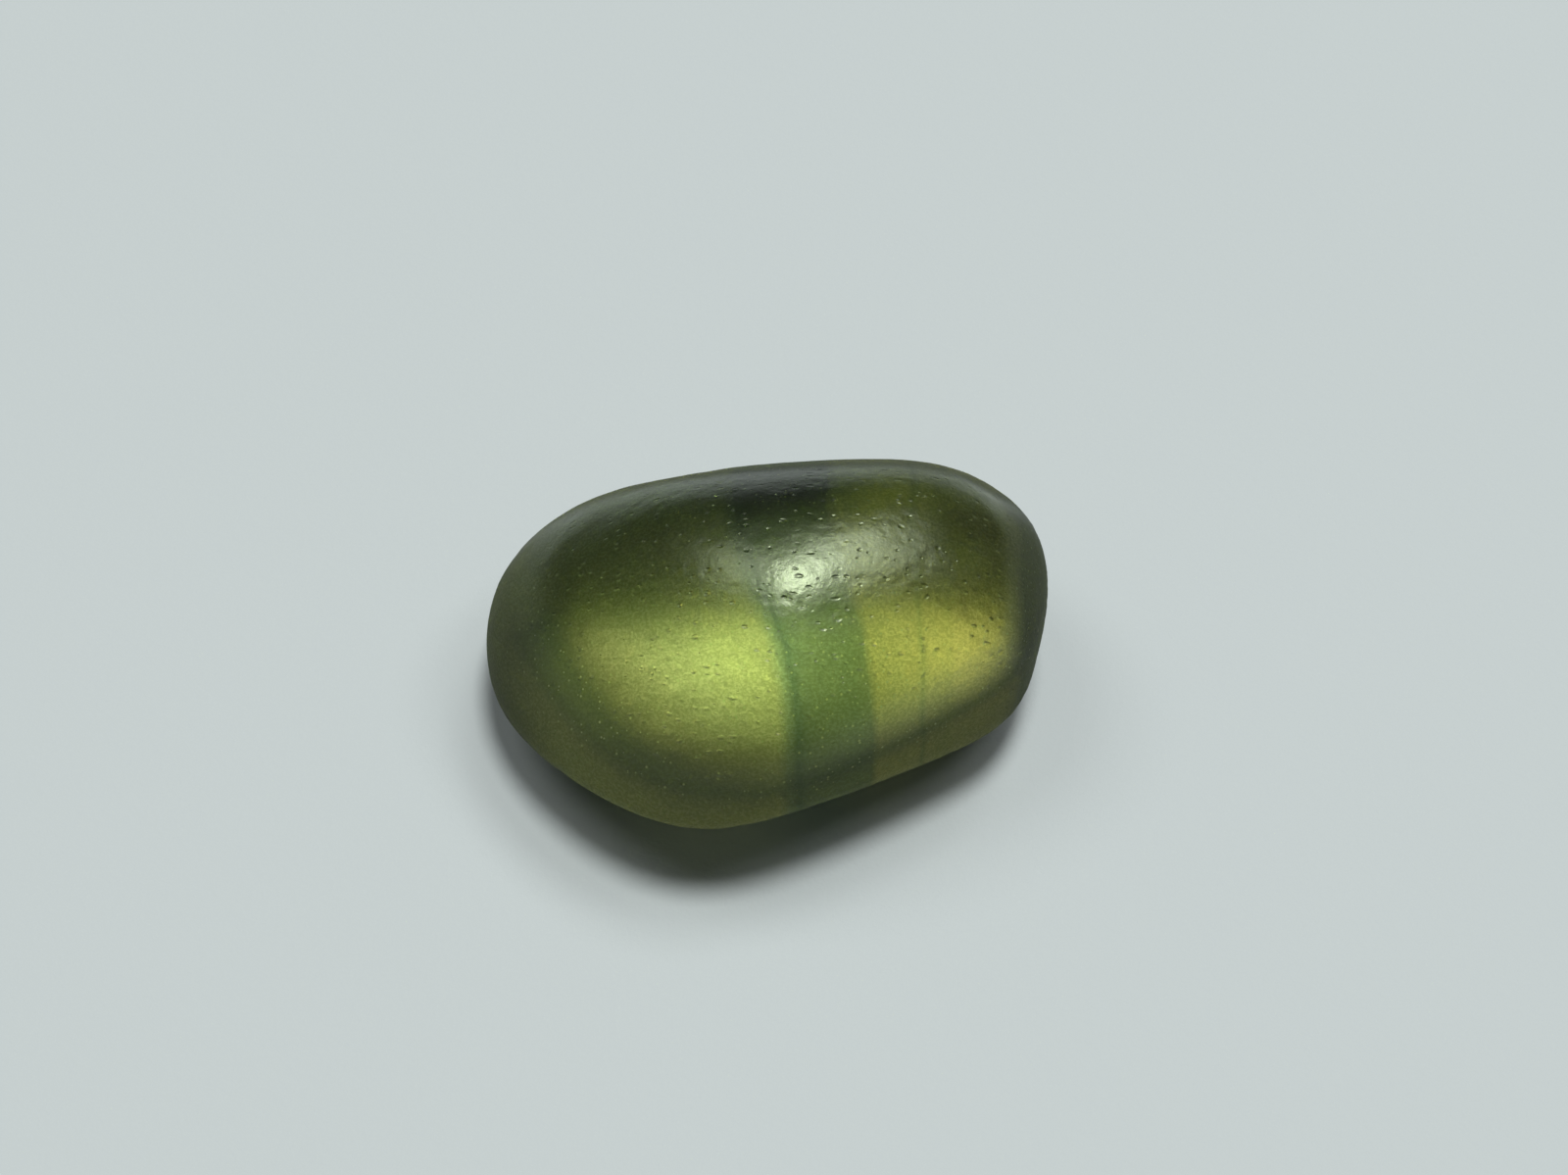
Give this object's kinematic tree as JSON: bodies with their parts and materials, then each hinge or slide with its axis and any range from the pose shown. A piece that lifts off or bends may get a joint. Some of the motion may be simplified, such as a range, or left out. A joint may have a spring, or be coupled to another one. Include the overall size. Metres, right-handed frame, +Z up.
{
  "type": "rough sapphire",
  "caption": "Loose water-worn sapphire pebble: a see-through yellow-green lump with rounded flats, frosted skin, a blue-green colour zone across it and a flat side to lie on.",
  "frame": {"origin": "centre of the bottom of the stone's box, in the plane that it rests on", "axes": "+X along the stone's length to its blunt end, +Y to its back, +Z up from the flat that it rests on"},
  "size_m": [0.0116, 0.0092, 0.0065],
  "materials": {
    "frosted_corundum": "frosted, see-through, yellow-green with a blue-green zone"
  },
  "bodies": {
    "root": {"rough_sapphire": "frosted_corundum"}
  },
  "joints": []
}
